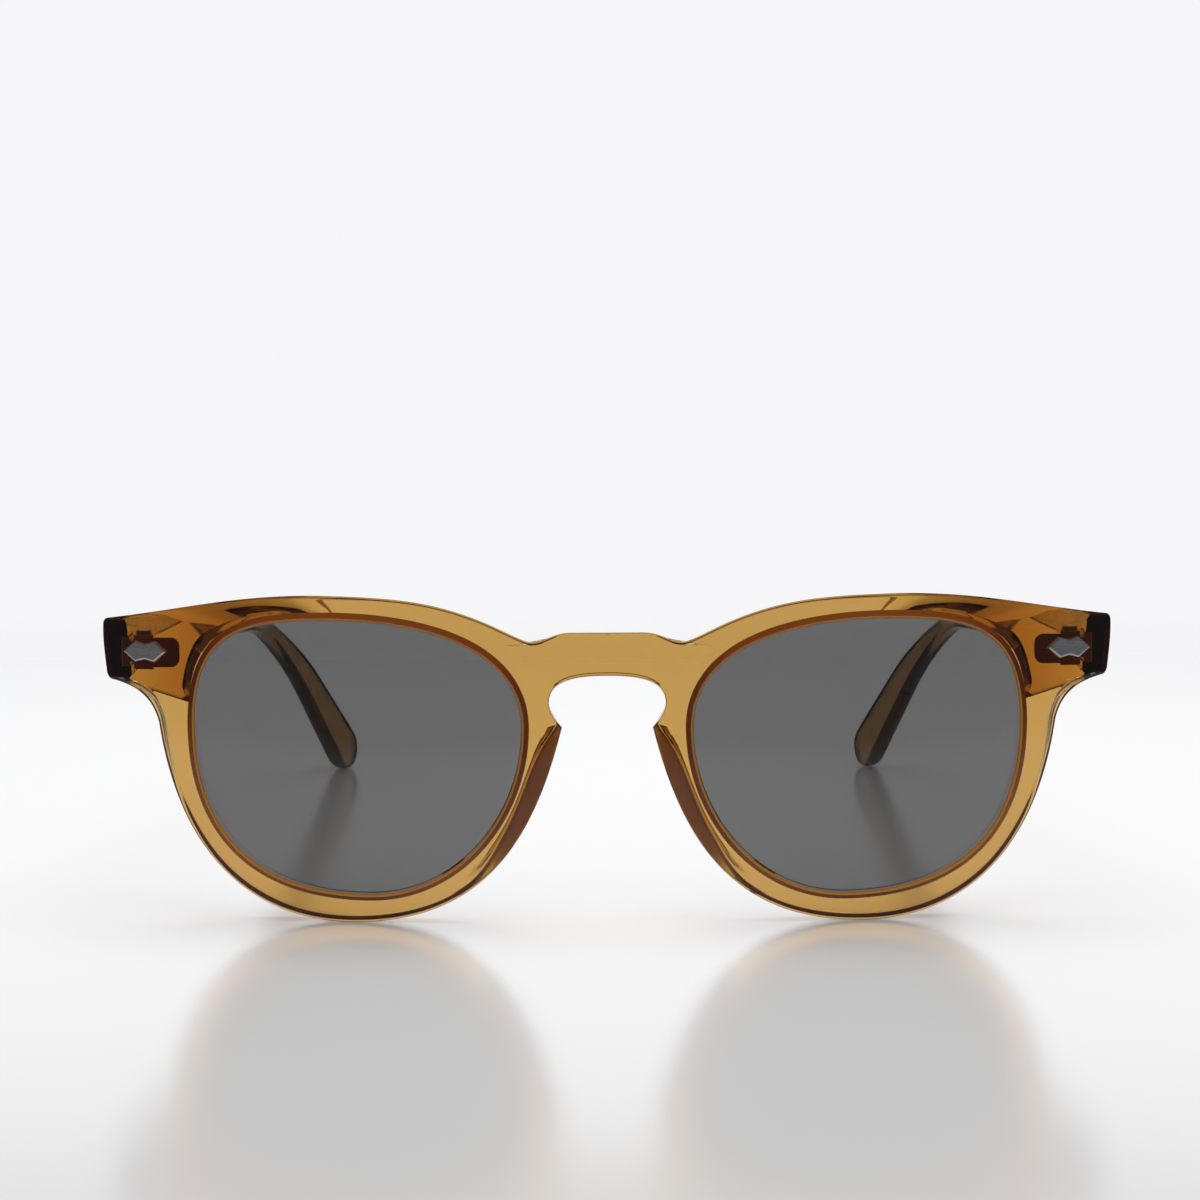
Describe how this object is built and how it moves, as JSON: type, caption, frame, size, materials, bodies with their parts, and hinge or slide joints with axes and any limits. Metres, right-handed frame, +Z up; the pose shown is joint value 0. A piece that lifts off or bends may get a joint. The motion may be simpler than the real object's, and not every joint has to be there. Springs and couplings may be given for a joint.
{
  "type": "sunglasses",
  "caption": "Square keyhole-bridge sunglasses with a translucent amber front, grey lenses, inlaid double-diamond plaques and two temples that fold on barrel hinges.",
  "frame": {"origin": "on the table, under the middle of the open glasses' box", "axes": "+X towards the wearer's left, -Y the way the wearer looks, +Z up; the open glasses stand on their rims and temple tips"},
  "size_m": [0.1428, 0.151, 0.046],
  "materials": {
    "amber_plastic": "polished translucent amber, moulded",
    "temple_plastic": "polished translucent amber, moulded",
    "grey_lens": "polished neutral grey tint",
    "plaque_metal": "satin face, bright bevel",
    "hinge_steel": "satin",
    "screw_steel": "bright"
  },
  "bodies": {
    "front": {"frame_front": "amber_plastic", "lens_left": "grey_lens", "lens_right": "grey_lens", "plaque_left": "plaque_metal", "plaque_right": "plaque_metal", "front_hinge_left": "hinge_steel", "front_hinge_right": "hinge_steel", "hinge_screw_left": "screw_steel", "hinge_screw_right": "screw_steel"},
    "left_temple": {"temple_left": "temple_plastic", "temple_hinge_left": "hinge_steel"},
    "right_temple": {"temple_right": "temple_plastic", "temple_hinge_right": "hinge_steel"}
  },
  "joints": [
    {"name": "left_temple_fold", "type": "hinge", "parent": "front", "child": "left_temple", "pos_m": [0.0655, -0.06024, 0.0373], "axis": [0, 0, 1], "range_deg": [0, 84]},
    {"name": "right_temple_fold", "type": "hinge", "parent": "front", "child": "right_temple", "pos_m": [-0.0655, -0.06024, 0.0373], "axis": [0, 0, -1], "range_deg": [0, 78]}
  ]
}
